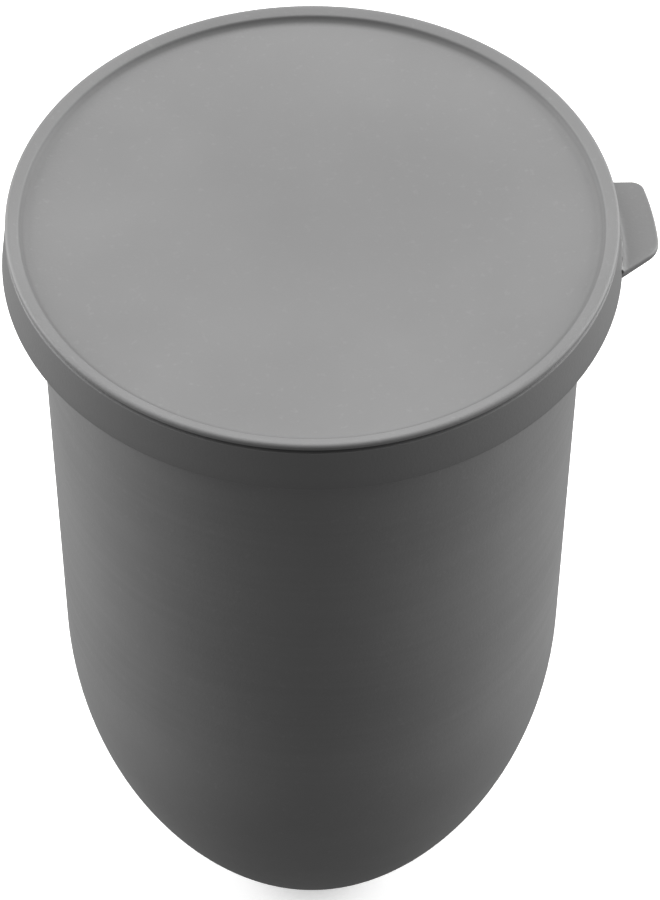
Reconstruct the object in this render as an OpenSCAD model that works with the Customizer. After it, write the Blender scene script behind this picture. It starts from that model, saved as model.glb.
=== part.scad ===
// Rock tumbler barrel: a bullet-shaped rubber barrel, closed by a push-fit lid with a pull tab.
// Millimetres. +Z is up, the origin is the centre of the foot, and the pull tab points along +X.

/* [Barrel] */
// Height of the closed barrel, from the foot to the top of the lid's lip
total_h = 160; // [152:1:168]
// Outer diameter of the wall where it meets the collar
barrel_d = 90.2; // [86:0.2:91]
// Thickness of the wall
wall_t = 3.2; // [2.6:0.1:3.6]
// Thickness of the floor
floor_t = 5; // [4:0.5:7]
// Draft of the straight wall, in degrees
wall_draft = 1.1; // [0.6:0.1:1.4]
// Height at which the straight wall ends and the nose begins
nose_z = 63; // [60:0.5:66]
// Radius of the long curve of the nose
nose_r = 92; // [88:1:96]
// Outer diameter of the collar round the mouth
collar_d = 97.2; // [96:0.2:97.4]
// Thickness of the collar at its edge
collar_t = 2.6; // [2:0.1:3]

/* [Lifters] */
// Number of lifter ribs inside the barrel
lifter_count = 6; // [3:1:8]
// Height of a lifter above the wall
lifter_h = 3; // [2:0.5:4]
// Width of a lifter, as an angle about the axis
lifter_angle = 8; // [5:1:10]

/* [Lid] */
// Outer diameter of the lid at the bottom of its skirt
lid_d = 102; // [101.8:0.1:104]
// Height of the lid, from the bottom of its skirt to the top of its lip
lid_h = 9.6; // [9.2:0.1:10]
// Thickness of the lid's panel
panel_t = 2.4; // [1.8:0.1:2.6]
// Slope of the lip's inner side where it is steepest, in degrees
lip_slope = 62; // [55:1:68]
// Width of the lip's top face
lip_width = 1.2; // [0.8:0.1:1.5]
// Slope of the lip's top face, which tilts towards the middle of the lid, in degrees
lip_tilt = 22; // [15:1:26]

/* [Pull tab] */
// Distance that the tab stands out from the skirt
tab_reach = 6; // [5.5:0.1:8]
// Angle about the lid's axis from the middle of the tab to its left corner's centre, in degrees
tab_left_corner = 7.1; // [6:0.1:9]
// Radius of the tab's left corner
tab_left_round = 2.2; // [1.5:0.1:3]
// Angle at which the tab's left side widens towards the skirt, in degrees
tab_left_taper = 6; // [0:1:20]
// Angle about the lid's axis from the middle of the tab to its right corner's centre, in degrees
tab_right_corner = 5; // [4:0.1:7]
// Radius of the tab's right corner
tab_right_round = 4.5; // [2:0.1:5]
// Angle at which the tab's right side widens towards the skirt, in degrees
tab_right_taper = 32; // [0:1:35]
// Thickness of the tab
tab_t = 1.4; // [1:0.1:1.6]
// Upward tilt of the tab, in degrees
tab_tilt = 3; // [0:1:5]

/* [Seal] */
// Thickness of the gasket ring in the lid
seal_t = 1.6; // [1.4:0.1:1.8]

/* [Hidden] */
$fn = 96;

// Barrel heights and radii
seat_gap = 0.05;
lip_hollow_r = 1.8;
lip_round = 0.6;
panel_recess = (lip_hollow_r + lip_round) * (1 - cos(lip_slope)) + lip_width * sin(lip_tilt);
mouth_z = total_h - panel_recess - panel_t - seal_t - seat_gap;
barrel_r = barrel_d / 2;
collar_r = collar_d / 2;
collar_round = 0.8;
mouth_r = barrel_r - wall_t;
mouth_chamfer = 0.8;
wall_top_z = mouth_z - collar_t - (collar_r - barrel_r);
nose_start_r = barrel_r - (wall_top_z - nose_z) * tan(wall_draft);
nose_c = [nose_start_r - nose_r * cos(wall_draft), nose_z + nose_r * sin(wall_draft)];
foot_round = 2.5;
floor_round = 8;
recess_r = 10.5;
recess_depth = 1.2;
nose_steps = 26;
corner_steps = 6;
lip_steps = 12;

// Lifter ribs
lifter_root = 0.8;
lifter_top_z = mouth_z - 16;
lifter_end_angle = -32;

// Lid heights and radii
lid_r = lid_d / 2;
lip_r = lid_r - 0.9;
skirt_z = total_h - lid_h;
panel_z = total_h - panel_recess;
roof_z = panel_z - panel_t;
crease_z = total_h - 0.9;
crease_h = 0.9;
crease_depth = 0.6;
skirt_inner_r = collar_r + 0.5;
snap_r = collar_r + 0.15;
snap_h = 1.2;
plug_r = mouth_r - 0.5;
plug_t = 1.5;
plug_z = roof_z - 5;
plug_chamfer = 0.5;
skirt_round = 0.5;

// Gasket radii, a little clear of the plug and the skirt
seal_inner_r = plug_r + 0.15;
seal_outer_r = skirt_inner_r - 0.15;
seal_round = 0.3;

// Pull tab: its tip is an arc round the lid's axis, and its root ends inside the skirt
tab_tip_r = lid_r + tab_reach;
tab_root_x = lid_r - 1.6;

// Points of an arc round c with radii rx and rz, from angle a0 to angle a1
function arc(c, rx, rz, a0, a1, steps = corner_steps) = [
    for (i = [0:steps])
        let (a = a0 + (a1 - a0) * i / steps)
        c + [rx * cos(a), rz * sin(a)]
];

function reversed(points) = [for (i = [len(points) - 1:-1:0]) points[i]];

// Centre of a round of radius q that touches the level z, and an arc of radius r round nose_c from inside
function round_centre(r, q, z) = [nose_c.x + sqrt((r - q) ^ 2 - (nose_c.y - z - q) ^ 2), z + q];

// Angle at which a round centred on c leaves the nose arc
function leave_angle(c) = atan2(c.y - nose_c.y, c.x - nose_c.x);

// Outside of the barrel, from the foot up to the mouth
function barrel_outside() =
    let (
        foot_c = round_centre(nose_r, foot_round, 0),
        foot_a = leave_angle(foot_c)
    )
    concat(
        arc(foot_c, foot_round, foot_round, -90, foot_a),
        arc(nose_c, nose_r, nose_r, foot_a, -wall_draft, nose_steps),
        [[barrel_r, wall_top_z], [collar_r, mouth_z - collar_t]],
        arc([collar_r - collar_round, mouth_z - collar_round], collar_round, collar_round, 0, 90)
    );

// Inside of the barrel, from the floor up to the mouth
function barrel_inside() =
    let (
        inner_r = nose_r - wall_t,
        floor_c = round_centre(inner_r, floor_round, floor_t),
        floor_a = leave_angle(floor_c)
    )
    concat(
        [[0, floor_t]],
        arc(floor_c, floor_round, floor_round, -90, floor_a),
        arc(nose_c, inner_r, inner_r, floor_a, -wall_draft, nose_steps),
        [[mouth_r, wall_top_z], [mouth_r, mouth_z - mouth_chamfer], [mouth_r + mouth_chamfer, mouth_z]]
    );

function wall_inner_r(z) = barrel_r - wall_t - (wall_top_z - z) * tan(wall_draft);

// A lifter's section: it follows the wall, and fades into it at both ends
module lifter_section() {
    crest = [
        for (i = [0:nose_steps])
            let (
                share = i / nose_steps,
                a = lifter_end_angle * (1 - share) - wall_draft * share,
                r = nose_r - wall_t - lifter_h * sin(90 * share)
            )
            nose_c + r * [cos(a), sin(a)]
    ];
    root = arc(nose_c, nose_r - wall_t + lifter_root, nose_r - wall_t + lifter_root,
               -wall_draft, lifter_end_angle, nose_steps);
    polygon(concat(
        crest,
        [
            [wall_inner_r(lifter_top_z - lifter_h) - lifter_h, lifter_top_z - lifter_h],
            [wall_inner_r(lifter_top_z), lifter_top_z],
            [wall_inner_r(lifter_top_z) + lifter_root, lifter_top_z]
        ],
        root
    ));
}

// The moulded barrel: nose, straight wall, collar and lifters in one piece
module barrel() {
    color("dimgray") {
        rotate_extrude()
            polygon(concat(
                [[0, recess_depth], [recess_r, recess_depth], [recess_r, 0]],
                barrel_outside(),
                reversed(barrel_inside())
            ));
        for (i = [0:lifter_count - 1])
            rotate(i * 360 / lifter_count - lifter_angle / 2)
                rotate_extrude(angle = lifter_angle)
                    lifter_section();
    }
}

// Section of the lid: panel, lip, skirt with its snap rib, and the plug ring that enters the mouth
module lid_section() {
    outer_c = [lip_r - lip_round, total_h - lip_round];
    inner_c = outer_c - lip_width * [cos(lip_tilt), sin(lip_tilt)];
    hollow_c = [inner_c.x - (lip_round + lip_hollow_r) * sin(lip_slope), panel_z + lip_hollow_r];
    polygon(concat(
        [[0, panel_z]],
        arc(hollow_c, lip_hollow_r, lip_hollow_r, -90, lip_slope - 90, lip_steps),
        arc(inner_c, lip_round, lip_round, 90 + lip_slope, 90 + lip_tilt),
        arc(outer_c, lip_round, lip_round, 90 + lip_tilt, 0),
        [
            [lip_r, crease_z],
            [lip_r - crease_depth, crease_z - crease_h / 2],
            [lip_r, crease_z - crease_h]
        ],
        arc([lid_r - skirt_round, skirt_z + skirt_round], skirt_round, skirt_round, 0, -90),
        [
            [snap_r + snap_h / 4, skirt_z],
            [snap_r, skirt_z + snap_h / 4],
            [snap_r, skirt_z + snap_h * 3 / 4],
            [skirt_inner_r, skirt_z + snap_h],
            [skirt_inner_r, roof_z],
            [plug_r, roof_z],
            [plug_r, plug_z + plug_chamfer],
            [plug_r - plug_chamfer, plug_z],
            [plug_r - plug_t + plug_chamfer, plug_z],
            [plug_r - plug_t, plug_z + plug_chamfer],
            [plug_r - plug_t, roof_z],
            [0, roof_z]
        ]
    ));
}

// Half of the tab's outline, from the middle of its tip to its root
function tab_half(corner_angle, corner_round, taper) =
    let (
        corner_c = (tab_tip_r - corner_round) * [cos(corner_angle), sin(corner_angle)],
        corner = arc(corner_c, corner_round, corner_round, corner_angle, 90 - taper),
        side_end = corner[corner_steps],
        root = [tab_root_x, side_end.y + (side_end.x - tab_root_x) * tan(taper)]
    )
    concat(
        arc([0, 0], tab_tip_r, tab_tip_r, 0, corner_angle),
        [for (i = [1:corner_steps]) corner[i]],
        [root]
    );

module tab_outline() {
    left = tab_half(tab_left_corner, tab_left_round, tab_left_taper);
    right = tab_half(tab_right_corner, tab_right_round, tab_right_taper);
    polygon(concat(
        left,
        [for (i = [len(right) - 1:-1:1]) [right[i].x, -right[i].y]]
    ));
}

// The moulded lid, with its pull tab at the bottom of the skirt
module lid() {
    color("gray") {
        rotate_extrude()
            lid_section();
        translate([lid_r, 0, skirt_z])
            rotate([0, -tab_tilt, 0])
                translate([-lid_r, 0, 0])
                    linear_extrude(tab_t)
                        tab_outline();
    }
}

// The flat gasket ring between the lid's roof and the barrel's mouth
module lid_seal() {
    low = roof_z - seal_t + seal_round;
    high = roof_z - seal_round;
    color("darkslategray")
        rotate_extrude()
            polygon(concat(
                arc([seal_inner_r + seal_round, low], seal_round, seal_round, 180, 270),
                arc([seal_outer_r - seal_round, low], seal_round, seal_round, 270, 360),
                arc([seal_outer_r - seal_round, high], seal_round, seal_round, 0, 90),
                arc([seal_inner_r + seal_round, high], seal_round, seal_round, 90, 180)
            ));
}

barrel();
lid();
lid_seal();
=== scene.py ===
"""Looks of the rock tumbler barrel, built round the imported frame.

Metres, +Z up, the origin at the centre of the foot, the lid's pull tab along +X.
The barrel, the lid and the gasket are turned from their sections with their corners rounded.
"""
import math

import bmesh
import bpy
from mathutils import Matrix, Quaternion, Vector


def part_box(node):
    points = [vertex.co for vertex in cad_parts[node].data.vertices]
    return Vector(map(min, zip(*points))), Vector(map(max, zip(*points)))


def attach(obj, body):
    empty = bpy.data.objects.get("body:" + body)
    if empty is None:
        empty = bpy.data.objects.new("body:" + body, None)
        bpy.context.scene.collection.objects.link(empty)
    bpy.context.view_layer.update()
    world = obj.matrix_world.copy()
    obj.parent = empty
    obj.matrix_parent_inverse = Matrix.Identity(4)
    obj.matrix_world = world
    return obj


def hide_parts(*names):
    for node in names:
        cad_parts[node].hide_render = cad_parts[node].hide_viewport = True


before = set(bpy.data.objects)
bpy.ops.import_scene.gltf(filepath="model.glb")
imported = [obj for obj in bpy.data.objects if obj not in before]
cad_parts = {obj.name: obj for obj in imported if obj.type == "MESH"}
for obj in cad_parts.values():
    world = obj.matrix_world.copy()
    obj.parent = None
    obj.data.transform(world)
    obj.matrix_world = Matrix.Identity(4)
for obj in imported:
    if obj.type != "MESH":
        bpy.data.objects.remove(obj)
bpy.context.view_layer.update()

MM = 0.001
barrel_low, barrel_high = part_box("barrel")
lid_low, lid_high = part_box("lid")
seal_low, seal_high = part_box("lid_seal")

# Barrel
MOUTH_Z = barrel_high.z
COLLAR_R = -barrel_low.x
COLLAR_T = 2.6 * MM
COLLAR_STEP = 3.5 * MM
WALL_R = COLLAR_R - COLLAR_STEP
WALL_T = 3.2 * MM
WALL_TOP_Z = MOUTH_Z - COLLAR_T - COLLAR_STEP
WALL_DRAFT = 1.1
NOSE_Z = 63 * MM
NOSE_R = 92 * MM
FOOT_ROUND = 2.5 * MM
FLOOR_Z = 5 * MM
FLOOR_ROUND = 8 * MM
RECESS_R = 10.5 * MM
RECESS_H = 1.2 * MM
RECESS_ROUND = 0.5 * MM
RECESS_EDGE = 0.4 * MM
COLLAR_FILLET = 1.2 * MM
COLLAR_LOW_EDGE = 0.5 * MM
MOUTH_OUTER_EDGE = 0.8 * MM
MOUTH_INNER_EDGE = 0.9 * MM

# Lifter ribs inside the barrel
RIBS = 6
RIB_H = 3 * MM
RIB_HALF_ANGLE = 4.6
RIB_CREST_ANGLE = 2.4
RIB_LOW_Z = 17 * MM
RIB_FULL_Z = 62 * MM
RIB_TOP_Z = MOUTH_Z - 16 * MM

# Lid
LID_R = -lid_low.x
TOP_Z = lid_high.z
SKIRT_Z = lid_low.z
LIP_R = LID_R - 0.9 * MM
LIP_ROUND = 0.6 * MM
LIP_WIDTH = 1.2 * MM
LIP_TILT = 22
LIP_HOLLOW_R = 1.8 * MM
LIP_SLOPE = 62
LIP_CLIMB = (LIP_HOLLOW_R + LIP_ROUND) * (1 - math.cos(math.radians(LIP_SLOPE)))
PANEL_Z = TOP_Z - LIP_CLIMB - LIP_WIDTH * math.sin(math.radians(LIP_TILT))
PANEL_T = 2.4 * MM
ROOF_Z = PANEL_Z - PANEL_T
CREASE_Z = TOP_Z - 1.35 * MM
CREASE_HALF = 0.45 * MM
CREASE_DEPTH = 0.65 * MM
CREASE_SOFTNESS = 0.1 * MM
SKIRT_INNER_R = COLLAR_R + 0.5 * MM
SKIRT_EDGE = 0.5 * MM
SNAP_R = COLLAR_R + 0.15 * MM
SNAP_FULL_H = 1.0 * MM
SNAP_H = 1.4 * MM
SNAP_EDGE = 0.4 * MM
SNAP_SOFTNESS = 0.25 * MM
PLUG_R = WALL_R - WALL_T - 0.5 * MM
PLUG_T = 1.5 * MM
PLUG_H = 5 * MM
PLUG_Z = ROOF_Z - PLUG_H
PLUG_EDGE = 0.5 * MM
ROOF_FILLET = 0.3 * MM
PANEL_FILLET = 0.8 * MM

# Pull tab
TAB_REACH = lid_high.x - LID_R
TAB_TIP_R = LID_R + TAB_REACH
# Each side of the tab: its corner's angle about the axis, its corner's radius and its taper
TAB_LEFT = (7.1, 2.2 * MM, 6)
TAB_RIGHT = (5, 4.5 * MM, 32)
TAB_ROOT_T = 1.6 * MM
TAB_TIP_T = 1.2 * MM
TAB_TILT = 3
TAB_EDGE = 0.35 * MM
TAB_WEB = 0.5 * MM
TAB_ROOT_R = LID_R - 1.4 * MM
TAB_LOW_Z = SKIRT_Z + 0.05 * MM

# Gasket
SEAL_INNER_R = PLUG_R + 0.15 * MM
SEAL_OUTER_R = -seal_low.x
SEAL_EDGE = 0.3 * MM

# Mesh density
STEP = 2 * MM
CORNER_STEPS = 6
SECTOR_STEPS = 36
RIB_STEPS = 12
RIB_ZONE = 1.3 * RIB_HALF_ANGLE
FOOT_STEPS = 12
NOSE_STEPS = 60
HOLLOW_STEPS = 16
LIP_INNER_STEPS = 8
LIP_OUTER_STEPS = 12
LID_STEPS = 240
SEAL_STEPS = 180
TAB_COLUMNS = 16
TAB_SIDE_STEPS = 12
TAB_ARC_STEPS = 10
TINY = 0.001 * MM
ON_AXIS = 0.0001 * MM


def polar(radius, degrees):
    return Vector((radius * math.cos(math.radians(degrees)), radius * math.sin(math.radians(degrees))))


def arc(centre, radius, start, end, steps):
    """Points of an arc round centre, from one angle to another."""
    return [Vector(centre) + polar(radius, start + (end - start) * i / steps) for i in range(steps + 1)]


def rounded(corners):
    """A path through corners (r, z, radius), with an arc at each corner whose radius isn't 0."""
    path = []
    for i, (r, z, radius) in enumerate(corners):
        p = Vector((r, z))
        if radius == 0:
            path.append(p)
            continue
        u = (Vector(corners[i - 1][:2]) - p).normalized()
        v = (Vector(corners[i + 1][:2]) - p).normalized()
        half = u.angle(v) / 2
        centre = p + (u + v).normalized() * radius / math.sin(half)
        a = p + u * radius / math.tan(half) - centre
        b = p + v * radius / math.tan(half) - centre
        start = math.degrees(math.atan2(a.y, a.x))
        turn = (math.degrees(math.atan2(b.y, b.x)) - start + 180) % 360 - 180
        path += arc(centre, radius, start, start + turn, CORNER_STEPS)
    return path


def subdivided(path, step=STEP):
    """The same path with its long stretches cut into short ones."""
    points = [path[0]]
    for p in path[1:]:
        pieces = max(1, math.ceil((p - points[-1]).length / step))
        start = points[-1]
        points += [start.lerp(p, (i + 1) / pieces) for i in range(pieces)]
    return points


def new_piece(name, bm):
    bmesh.ops.recalc_face_normals(bm, faces=bm.faces)
    for face in bm.faces:
        face.smooth = True
    mesh = bpy.data.meshes.new(name)
    bm.to_mesh(mesh)
    bm.free()
    piece = bpy.data.objects.new(name, mesh)
    bpy.context.scene.collection.objects.link(piece)
    return piece


def turned(name, path, angles, closed=False, shape=lambda point, angle: point):
    """Turns a path of (r, z) about the axis. shape may move a point, for what isn't round."""
    bm = bmesh.new()
    rings = []
    for point in path:
        if point.x < ON_AXIS:
            rings.append([bm.verts.new((0, 0, point.y))])
            continue
        ring = []
        for angle in angles:
            p = shape(point, angle)
            flat = polar(p.x, angle)
            ring.append(bm.verts.new((flat.x, flat.y, p.y)))
        rings.append(ring)
    pairs = list(zip(rings, rings[1:]))
    if closed:
        pairs.append((rings[-1], rings[0]))
    count = len(angles)
    for low, high in pairs:
        for i in range(count):
            j = (i + 1) % count
            corners = [low[i % len(low)], low[j % len(low)], high[j % len(high)], high[i % len(high)]]
            bm.faces.new(list(dict.fromkeys(corners)))
    return new_piece(name, bm)


def even_angles(count):
    return [360 * i / count for i in range(count)]


def rib_angles():
    """Angles about the axis that lie closer together where the lifter ribs are."""
    sector = 360 / RIBS
    rest = sector - 2 * RIB_ZONE
    coarse = SECTOR_STEPS - RIB_STEPS
    angles = []
    for rib in range(RIBS):
        middle = rib * sector
        angles += [middle - RIB_ZONE + 2 * RIB_ZONE * i / RIB_STEPS for i in range(RIB_STEPS)]
        angles += [middle + RIB_ZONE + rest * i / coarse for i in range(coarse)]
    return angles


def smooth_step(low, high, value):
    share = min(max((value - low) / (high - low), 0), 1)
    return share * share * (3 - 2 * share)


# Centre of the nose's long arc
NOSE_TOP_R = WALL_R - (WALL_TOP_Z - NOSE_Z) * math.tan(math.radians(WALL_DRAFT))
NOSE_C = Vector((NOSE_TOP_R, NOSE_Z)) - polar(NOSE_R, -WALL_DRAFT)


def round_centre(nose_radius, radius, z):
    """Centre of a round that touches the level z and the nose's arc from inside."""
    up = NOSE_C.y - z - radius
    return Vector((NOSE_C.x + math.sqrt((nose_radius - radius) ** 2 - up ** 2), z + radius))


def nose_path(nose_radius, radius, z):
    """The flat's round and the long arc, from the axis side up to the straight wall."""
    centre = round_centre(nose_radius, radius, z)
    out = centre - NOSE_C
    leave = math.degrees(math.atan2(out.y, out.x))
    return (
        arc(centre, radius, -90, leave, FOOT_STEPS)
        + arc(NOSE_C, nose_radius, leave, -WALL_DRAFT, NOSE_STEPS)[1:]
    )


def barrel_section():
    outside = nose_path(NOSE_R, FOOT_ROUND, 0)
    inside = nose_path(NOSE_R - WALL_T, FLOOR_ROUND, FLOOR_Z)
    foot = rounded([
        (0, RECESS_H, 0),
        (RECESS_R, RECESS_H, RECESS_ROUND),
        (RECESS_R, 0, RECESS_EDGE),
        (outside[0].x, 0, 0),
    ])
    mouth = rounded([
        (*outside[-1], 0),
        (WALL_R, WALL_TOP_Z, COLLAR_FILLET),
        (COLLAR_R, MOUTH_Z - COLLAR_T, COLLAR_LOW_EDGE),
        (COLLAR_R, MOUTH_Z, MOUTH_OUTER_EDGE),
        (WALL_R - WALL_T, MOUTH_Z, MOUTH_INNER_EDGE),
        (WALL_R - WALL_T, WALL_TOP_Z, 0),
        (*inside[-1], 0),
    ])
    path = foot[:-1] + outside[:-1] + mouth[:-1] + inside[::-1] + [Vector((0, FLOOR_Z))]
    return subdivided(path)


def with_ribs(point, angle):
    """Pulls a point of the barrel's inner wall towards the axis where a lifter rib stands."""
    r, z = point
    sector = 360 / RIBS
    off = abs((angle + sector / 2) % sector - sector / 2)
    inner = r < wall_middle(z) and RIB_LOW_Z < z < RIB_TOP_Z
    if not inner or off > RIB_HALF_ANGLE:
        return point
    across = 1 - smooth_step(RIB_CREST_ANGLE, RIB_HALF_ANGLE, off)
    along = smooth_step(RIB_LOW_Z, RIB_FULL_Z, z) * (1 - smooth_step(RIB_TOP_Z - RIB_H, RIB_TOP_Z, z))
    return Vector((r - RIB_H * across * along, z))


def wall_middle(z):
    """Radius of the middle of the wall at a height."""
    if z > NOSE_Z:
        return WALL_R - WALL_T / 2 - (WALL_TOP_Z - z) * math.tan(math.radians(WALL_DRAFT))
    return NOSE_C.x + math.sqrt((NOSE_R - WALL_T / 2) ** 2 - (NOSE_C.y - z) ** 2)


def make_barrel():
    return turned("barrel_body", barrel_section(), rib_angles(), shape=with_ribs)


def lid_section():
    outer_round = Vector((LIP_R - LIP_ROUND, TOP_Z - LIP_ROUND))
    inner_round = outer_round - polar(LIP_WIDTH, LIP_TILT)
    hollow = inner_round + polar(LIP_ROUND + LIP_HOLLOW_R, 90 + LIP_SLOPE)
    rise = arc(hollow, LIP_HOLLOW_R, -90, LIP_SLOPE - 90, HOLLOW_STEPS)
    lip = arc(inner_round, LIP_ROUND, 90 + LIP_SLOPE, 90 + LIP_TILT, LIP_INNER_STEPS)
    lip += arc(outer_round, LIP_ROUND, 90 + LIP_TILT, 0, LIP_OUTER_STEPS)
    skirt = rounded([
        (*lip[-1], 0),
        (LIP_R, CREASE_Z + CREASE_HALF, CREASE_SOFTNESS),
        (LIP_R - CREASE_DEPTH, CREASE_Z, CREASE_SOFTNESS),
        (LIP_R, CREASE_Z - CREASE_HALF, 1.5 * CREASE_SOFTNESS),
        (LID_R, SKIRT_Z, SKIRT_EDGE),
        (SNAP_R, SKIRT_Z, SNAP_EDGE),
        (SNAP_R, SKIRT_Z + SNAP_FULL_H, SNAP_SOFTNESS),
        (SKIRT_INNER_R, SKIRT_Z + SNAP_H, SNAP_SOFTNESS),
        (SKIRT_INNER_R, ROOF_Z, ROOF_FILLET),
        (PLUG_R, ROOF_Z, ROOF_FILLET),
        (PLUG_R, PLUG_Z, PLUG_EDGE),
        (PLUG_R - PLUG_T, PLUG_Z, PLUG_EDGE),
        (PLUG_R - PLUG_T, ROOF_Z, PANEL_FILLET),
        (0, ROOF_Z, 0),
    ])
    path = [Vector((0, PANEL_Z))] + rise + lip[1:-1] + skirt
    return subdivided(path)


def tab_outline(corner_angle, corner_round, taper):
    """One side of the tab's outline, seen from above, from its root to the middle of its tip."""
    corner_centre = polar(TAB_TIP_R - corner_round, corner_angle)
    corner = arc(corner_centre, corner_round, 90 - taper, corner_angle, TAB_ARC_STEPS)
    tip = arc((0, 0), TAB_TIP_R, corner_angle, 0, TAB_ARC_STEPS)
    root_half = corner[0].y + (corner[0].x - TAB_ROOT_R) * math.tan(math.radians(taper))
    root = Vector((TAB_ROOT_R, root_half))
    side = [root.lerp(corner[0], i / TAB_SIDE_STEPS) for i in range(TAB_SIDE_STEPS)]
    return side + corner + tip[1:]


def tab_heights(r):
    """The tab's underside and top at a distance from the axis, with the web where it joins the skirt."""
    out = max(r - LID_R, 0)
    low = TAB_LOW_Z + out * math.tan(math.radians(TAB_TILT))
    thickness = TAB_ROOT_T + (TAB_TIP_T - TAB_ROOT_T) * out / TAB_REACH
    gap = max(TAB_WEB - out, 0)
    web = TAB_WEB - math.sqrt(TAB_WEB ** 2 - gap ** 2)
    return low, low + thickness + web


def tab_edge(outline, i):
    """The tab's rounded edge at a point of its outline, from its underside to its top."""
    last = len(outline) - 1
    along = outline[min(i + 1, last)] - outline[max(i - 1, 0)]
    inward = Vector((-1, 0)) if i == last else Vector((along.y, -along.x)).normalized()
    edge = []
    for level, sign, angles in ((0, 1, (-90, -60, -30, 0)), (1, -1, (0, 30, 60, 90))):
        for angle in angles:
            turn = polar(TAB_EDGE, angle)
            q = outline[i] + inward * (TAB_EDGE - turn.x)
            edge.append(Vector((q.x, q.y, tab_heights(q.length)[level] + sign * TAB_EDGE + turn.y)))
    return edge


def tab_row(start, end, level):
    """Points across the tab's underside (level 0) or top (level 1), between its two edges."""
    row = []
    for i in range(1, TAB_COLUMNS):
        q = start.lerp(end, i / TAB_COLUMNS)
        row.append(Vector((q.x, q.y, tab_heights(q.xy.length)[level])))
    return row


def make_tab():
    """The pull tab, with rounded edges, and with a web on top where it grows out of the skirt."""
    left_outline = tab_outline(*TAB_LEFT)
    right_outline = tab_outline(*TAB_RIGHT)
    bm = bmesh.new()
    loops = []
    for i in range(len(left_outline)):
        left = tab_edge(left_outline, i)
        right = [Vector((p.x, -p.y, p.z)) for p in reversed(tab_edge(right_outline, i))]
        loop = left + tab_row(left[-1], right[0], 1) + right + tab_row(right[-1], left[0], 0)
        loops.append([bm.verts.new(p) for p in loop])
    for a, b in zip(loops, loops[1:]):
        for i in range(len(a)):
            j = (i + 1) % len(a)
            bm.faces.new((a[i], a[j], b[j], b[i]))
    bm.faces.new(loops[0])
    bmesh.ops.remove_doubles(bm, verts=bm.verts, dist=TINY)
    bmesh.ops.dissolve_degenerate(bm, edges=bm.edges, dist=TINY)
    return new_piece("lid_tab_blank", bm)


def joined(piece, other):
    """Melts another closed solid into a piece, and takes the other away."""
    union = piece.modifiers.new("union", "BOOLEAN")
    union.operation = "UNION"
    union.solver = "EXACT"
    union.object = other
    graph = bpy.context.evaluated_depsgraph_get()
    mesh = bpy.data.meshes.new_from_object(piece.evaluated_get(graph))
    piece.modifiers.clear()
    piece.data = mesh
    bpy.data.objects.remove(other)
    return piece


def make_lid():
    cap = turned("lid_cap", lid_section(), even_angles(LID_STEPS))
    return joined(cap, make_tab())


def make_seal():
    low = seal_low.z
    high = seal_high.z
    middle = (low + high) / 2
    section = rounded([
        (SEAL_INNER_R, middle, 0),
        (SEAL_INNER_R, low, SEAL_EDGE),
        (SEAL_OUTER_R, low, SEAL_EDGE),
        (SEAL_OUTER_R, high, SEAL_EDGE),
        (SEAL_INNER_R, high, SEAL_EDGE),
        (SEAL_INNER_R, middle, 0),
    ])
    return turned("lid_gasket", subdivided(section)[:-1], even_angles(SEAL_STEPS), closed=True)


def shade(grey, factor):
    return (grey * factor,) * 3


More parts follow.
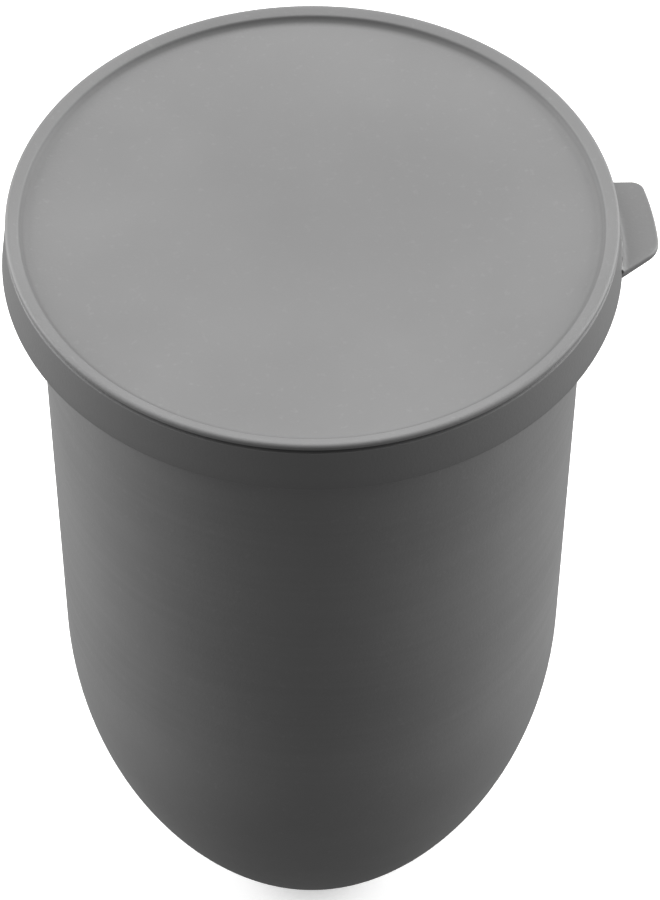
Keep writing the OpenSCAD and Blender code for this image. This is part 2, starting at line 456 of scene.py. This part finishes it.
class Nodes:
    """A material's node tree, with its shader, and short ways to add to it."""

    def __init__(self, name):
        self.material = bpy.data.materials.new(name)
        self.material.use_nodes = True
        self.tree = self.material.node_tree
        self.shader = self.tree.nodes["Principled BSDF"]
        self.place = self.add("ShaderNodeTexCoord").outputs["Object"]

    def add(self, kind, **values):
        node = self.tree.nodes.new(kind)
        for key, value in values.items():
            setattr(node, key, value)
        return node

    def link(self, a, b):
        self.tree.links.new(a, b)

    def noise(self, scale, detail=3, roughness=0.5, stretch=(1, 1, 1)):
        mapping = self.add("ShaderNodeMapping")
        mapping.inputs["Scale"].default_value = stretch
        self.link(self.place, mapping.inputs["Vector"])
        noise = self.add("ShaderNodeTexNoise")
        noise.inputs["Scale"].default_value = scale
        noise.inputs["Detail"].default_value = detail
        noise.inputs["Roughness"].default_value = roughness
        self.link(mapping.outputs["Vector"], noise.inputs["Vector"])
        return noise.outputs["Fac"]

    def spread(self, value, from_range, to_range):
        node = self.add("ShaderNodeMapRange")
        node.inputs["From Min"].default_value = from_range[0]
        node.inputs["From Max"].default_value = from_range[1]
        node.inputs["To Min"].default_value = to_range[0]
        node.inputs["To Max"].default_value = to_range[1]
        self.link(value, node.inputs["Value"])
        return node.outputs["Result"]

    def blend(self, value, first, second):
        node = self.add("ShaderNodeMix", data_type="RGBA")
        for name, colour in (("A", first), ("B", second)):
            socket = [s for s in node.inputs if s.name == name and s.type == "RGBA"][0]
            if isinstance(colour, tuple):
                socket.default_value = (*colour, 1)
            else:
                self.link(colour, socket)
        self.link(value, node.inputs[0])
        return [s for s in node.outputs if s.type == "RGBA"][0]

    def math(self, operation, first, second):
        node = self.add("ShaderNodeMath", operation=operation)
        for socket, value in zip(node.inputs, (first, second)):
            if isinstance(value, (int, float)):
                socket.default_value = value
            else:
                self.link(value, socket)
        return node.outputs["Value"]

    def product(self, first, second):
        return self.math("MULTIPLY", first, second)

    def sum(self, first, second):
        return self.math("ADD", first, second)

    def coordinate(self, axis):
        node = self.add("ShaderNodeSeparateXYZ")
        self.link(self.place, node.inputs["Vector"])
        return node.outputs[axis]

    def within(self, value, limits, fade):
        """1 where a value lies between two limits, fading to 0 outside them."""
        rise = self.spread(value, (limits[0] - fade, limits[0]), (0, 1))
        fall = self.spread(value, (limits[1], limits[1] + fade), (1, 0))
        return self.product(rise, fall)

    def distance_from_axis(self):
        x, y = self.coordinate("X"), self.coordinate("Y")
        squares = self.sum(self.product(x, x), self.product(y, y))
        return self.math("POWER", squares, 0.5)

    def bump(self, height, distance, strength, below=None):
        node = self.add("ShaderNodeBump")
        node.inputs["Strength"].default_value = strength
        node.inputs["Distance"].default_value = distance
        self.link(height, node.inputs["Height"])
        if below is not None:
            self.link(below, node.inputs["Normal"])
        return node.outputs["Normal"]


# Rubber: each scale is about the number of marks in a metre, each tint a factor for the colour,
# and each span the part of the noise that is used
CLOUD_SCALE = 30
CLOUD_TINTS = (0.95, 1.05)
SPECK_SCALE = 900
SPECK_SPAN = (0.62, 0.78)
SPECK_TINT = 1.5
SPECK_STRENGTH = 0.2
HANDLED_SCALE = 14
HANDLED_ROUGHNESS = 0.07
NOISE_SPAN = (0.35, 0.65)
# Painted shade at the middle of the lid's panel
MIDDLE_SHADE_TINT = 0.75
MIDDLE_SHADE_STRENGTH = 0.45
SCUFF_SCALE = 150
SCUFF_SPAN = (0.4, 0.7)
SCUFF_STRETCH = (0.15, 0.15, 4)
SCUFF_TINT = 1.3
SCUFF_STRENGTH = 0.12
SCUFF_SMOOTHING = 0.04
SCUFF_FADE = 10 * MM
RING_FADE = 0.3 * MM
GRAIN_SCALE = 1800
GRAIN_DEPTH = 0.06 * MM
GRAIN_STRENGTH = 0.5
UNEVEN_SCALE = 70
UNEVEN_DEPTH = 0.3 * MM
UNEVEN_STRENGTH = 0.25
SPECULAR = 0.35


def rubber(name, grey, roughness, rubbed=None, dished=None, rings=()):
    """Moulded rubber: fine grain, faint clouding, specks and handled patches.

    rubbed is the range of heights over which rollers have polished and scuffed the wall.
    dished is the radius of a round face with painted shade, a little darker towards its middle.
    rings are darker bands of painted shade, such as in a groove or crease: each has a range of heights,
    a range of radii, a factor for the colour and the amount by which it is smoother.
    """
    n = Nodes(name)
    cloud = n.spread(n.noise(CLOUD_SCALE, detail=4), NOISE_SPAN, (0, 1))
    specks = n.spread(n.noise(SPECK_SCALE, detail=2), SPECK_SPAN, (0, SPECK_STRENGTH))
    handled = n.noise(HANDLED_SCALE, detail=5, roughness=0.6)
    rough_range = (roughness - HANDLED_ROUGHNESS, roughness + HANDLED_ROUGHNESS)
    colour = n.blend(cloud, *[shade(grey, tint) for tint in CLOUD_TINTS])
    colour = n.blend(specks, colour, shade(grey, SPECK_TINT))
    rough = n.spread(handled, NOISE_SPAN, rough_range)
    if dished is not None:
        # painted shade: the round face darker towards its middle
        middle = n.spread(n.distance_from_axis(), (0.1 * dished, dished), (MIDDLE_SHADE_STRENGTH, 0))
        colour = n.blend(middle, colour, shade(grey, MIDDLE_SHADE_TINT))
    if rubbed is not None:
        scuffs = n.spread(n.noise(SCUFF_SCALE, detail=5, stretch=SCUFF_STRETCH), SCUFF_SPAN, (0, 1))
        band = n.product(n.within(n.coordinate("Z"), rubbed, SCUFF_FADE), scuffs)
        colour = n.blend(n.product(band, SCUFF_STRENGTH), colour, shade(grey, SCUFF_TINT))
        rough = n.sum(rough, n.product(band, -SCUFF_SMOOTHING))
    # painted shade: each ring darkens the colour in its band, and also makes it smoother
    for heights, radii, tint, smoother in rings:
        level = n.within(n.coordinate("Z"), heights, RING_FADE)
        ring = n.product(level, n.within(n.distance_from_axis(), radii, RING_FADE))
        colour = n.blend(ring, colour, shade(grey, tint))
        rough = n.sum(rough, n.product(ring, -smoother))
    grain = n.bump(n.noise(GRAIN_SCALE, detail=3), GRAIN_DEPTH, GRAIN_STRENGTH)
    swell = n.noise(UNEVEN_SCALE, detail=2)
    uneven = n.bump(swell, UNEVEN_DEPTH, UNEVEN_STRENGTH, below=grain)
    n.link(colour, n.shader.inputs["Base Color"])
    n.link(rough, n.shader.inputs["Roughness"])
    n.link(uneven, n.shader.inputs["Normal"])
    n.shader.inputs["Specular IOR Level"].default_value = SPECULAR
    return n.material


def finish_piece(piece, body, node, slot, **finish):
    piece.data.materials.clear()
    piece.data.materials.append(rubber(slot, **finish))
    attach(piece, body)
    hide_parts(node)


# Rings of the lid's rubber: the smoother skirt with painted shade under the lip, and painted shade in
# the crease and round the panel
SHADED_SMOOTH_SKIRT = ((SKIRT_Z, CREASE_Z), (LID_R - 1.5 * MM, LID_R), 0.8, 0.12)
CREASE_HEIGHTS = (CREASE_Z - CREASE_HALF, CREASE_Z + CREASE_HALF)
# painted shade in the crease under the lip, half as bright
CREASE_SHADE = (CREASE_HEIGHTS, (LIP_R - CREASE_DEPTH, LIP_R - CREASE_DEPTH / 2), 0.5, 0)
GROOVE_HEIGHTS = (PANEL_Z + 0.3 * MM, PANEL_Z + 0.8 * MM)
# painted shade in the groove round the panel
GROOVE_SHADE = (GROOVE_HEIGHTS, (0, LIP_R - LIP_WIDTH - LIP_ROUND), 0.7, 0)
LID_RINGS = (SHADED_SMOOTH_SKIRT, CREASE_SHADE, GROOVE_SHADE)
PANEL_R = 47 * MM

# Heights between which rollers carry the barrel
ROLLED_HEIGHTS = (70 * MM, 135 * MM)
GREY = 0.17
DARK_GREY = 0.05

finish_piece(
    make_barrel(), "barrel", "barrel", "barrel_rubber",
    grey=GREY, roughness=0.58, rubbed=ROLLED_HEIGHTS,
)
finish_piece(
    make_lid(), "lid", "lid", "lid_rubber",
    grey=GREY, roughness=0.55, dished=PANEL_R, rings=LID_RINGS,
)
finish_piece(make_seal(), "lid", "lid_seal", "seal_rubber", grey=DARK_GREY, roughness=0.5)

# Camera: the photograph's viewing angle
VIEW_AZIMUTH = -7.6
VIEW_ELEVATION = 47.3
VIEW_ROLL = 0.3
VIEW_DISTANCE = 16 * LID_R
VIEW_HEIGHT = TOP_Z - 0.6 * LID_R
AIM_RIGHT = 3.0 * MM
AIM_DOWN = 17.8 * MM
LENS_MM = 194.8
SENSOR_MM = 36

# Studio: places of the lights as seen from the camera's side, sizes, and powers in watts
LIGHT_TARGET = (0, 0, 0.1)
TOP_LIGHT_PLACE = (0, 0.35, 1.3)
TOP_LIGHT_SIZE = (1.6, 1.2)
TOP_LIGHT_POWER = 17.6
SIDE_LIGHT_X = 1.15
SIDE_LIGHT_YZ = (0.4, 0.45)
SIDE_LIGHT_SIZE = (1.1, 1.1)
SIDE_LIGHT_POWER = 28.5
WORLD_STRENGTH = 0.25
WHITE = (1, 1, 1, 1)
FLOOR_HALF_WIDTH = 6
FLOOR_COLOUR = (0.9, 0.9, 0.9, 1)
FLOOR_ROUGHNESS = 0.9
FLOOR_GLOW = 0.45


def make_camera():
    azimuth, elevation = math.radians(VIEW_AZIMUTH), math.radians(VIEW_ELEVATION)
    back = Vector((
        math.sin(azimuth) * math.cos(elevation),
        -math.cos(azimuth) * math.cos(elevation),
        math.sin(elevation),
    ))
    right = Vector((math.cos(azimuth), math.sin(azimuth), 0))
    up = back.cross(right)
    centre = Vector((0, 0, VIEW_HEIGHT))
    place = centre + back * VIEW_DISTANCE
    aim = centre + right * AIM_RIGHT - up * AIM_DOWN
    data = bpy.data.cameras.new("camera")
    data.lens = LENS_MM
    data.sensor_width = SENSOR_MM
    data.clip_start = 0.01
    data.clip_end = 50
    camera = bpy.data.objects.new("camera", data)
    camera.location = place
    roll = Quaternion((0, 0, 1), math.radians(VIEW_ROLL))
    camera.rotation_euler = ((aim - place).to_track_quat("-Z", "Y") @ roll).to_euler()
    bpy.context.scene.collection.objects.link(camera)
    bpy.context.scene.camera = camera


def make_floor():
    bm = bmesh.new()
    bmesh.ops.create_grid(bm, x_segments=8, y_segments=8, size=FLOOR_HALF_WIDTH)
    floor = new_piece("floor", bm)
    n = Nodes("floor_white")
    n.shader.inputs["Base Color"].default_value = FLOOR_COLOUR
    n.shader.inputs["Roughness"].default_value = FLOOR_ROUGHNESS
    n.shader.inputs["Emission Color"].default_value = WHITE
    n.shader.inputs["Emission Strength"].default_value = FLOOR_GLOW
    floor.data.materials.append(n.material)
    floor.visible_diffuse = False
    floor.visible_glossy = False


def make_area_light(name, place, size, power):
    data = bpy.data.lights.new(name, "AREA")
    data.shape = "RECTANGLE"
    data.size, data.size_y = size
    data.energy = power
    light = bpy.data.objects.new(name, data)
    place = Matrix.Rotation(math.radians(VIEW_AZIMUTH), 3, "Z") @ Vector(place)
    light.location = place
    light.rotation_euler = (Vector(LIGHT_TARGET) - place).to_track_quat("-Z", "Y").to_euler()
    bpy.context.scene.collection.objects.link(light)


def make_light():
    make_area_light("top_light", TOP_LIGHT_PLACE, TOP_LIGHT_SIZE, TOP_LIGHT_POWER)
    for name, side in (("left_light", -1), ("right_light", 1)):
        place = (side * SIDE_LIGHT_X, *SIDE_LIGHT_YZ)
        make_area_light(name, place, SIDE_LIGHT_SIZE, SIDE_LIGHT_POWER)
    world = bpy.data.worlds.new("studio")
    world.use_nodes = True
    background = world.node_tree.nodes["Background"]
    background.inputs["Color"].default_value = WHITE
    background.inputs["Strength"].default_value = WORLD_STRENGTH
    bpy.context.scene.world = world
    bpy.context.scene.view_settings.view_transform = "Standard"


make_camera()
make_floor()
make_light()
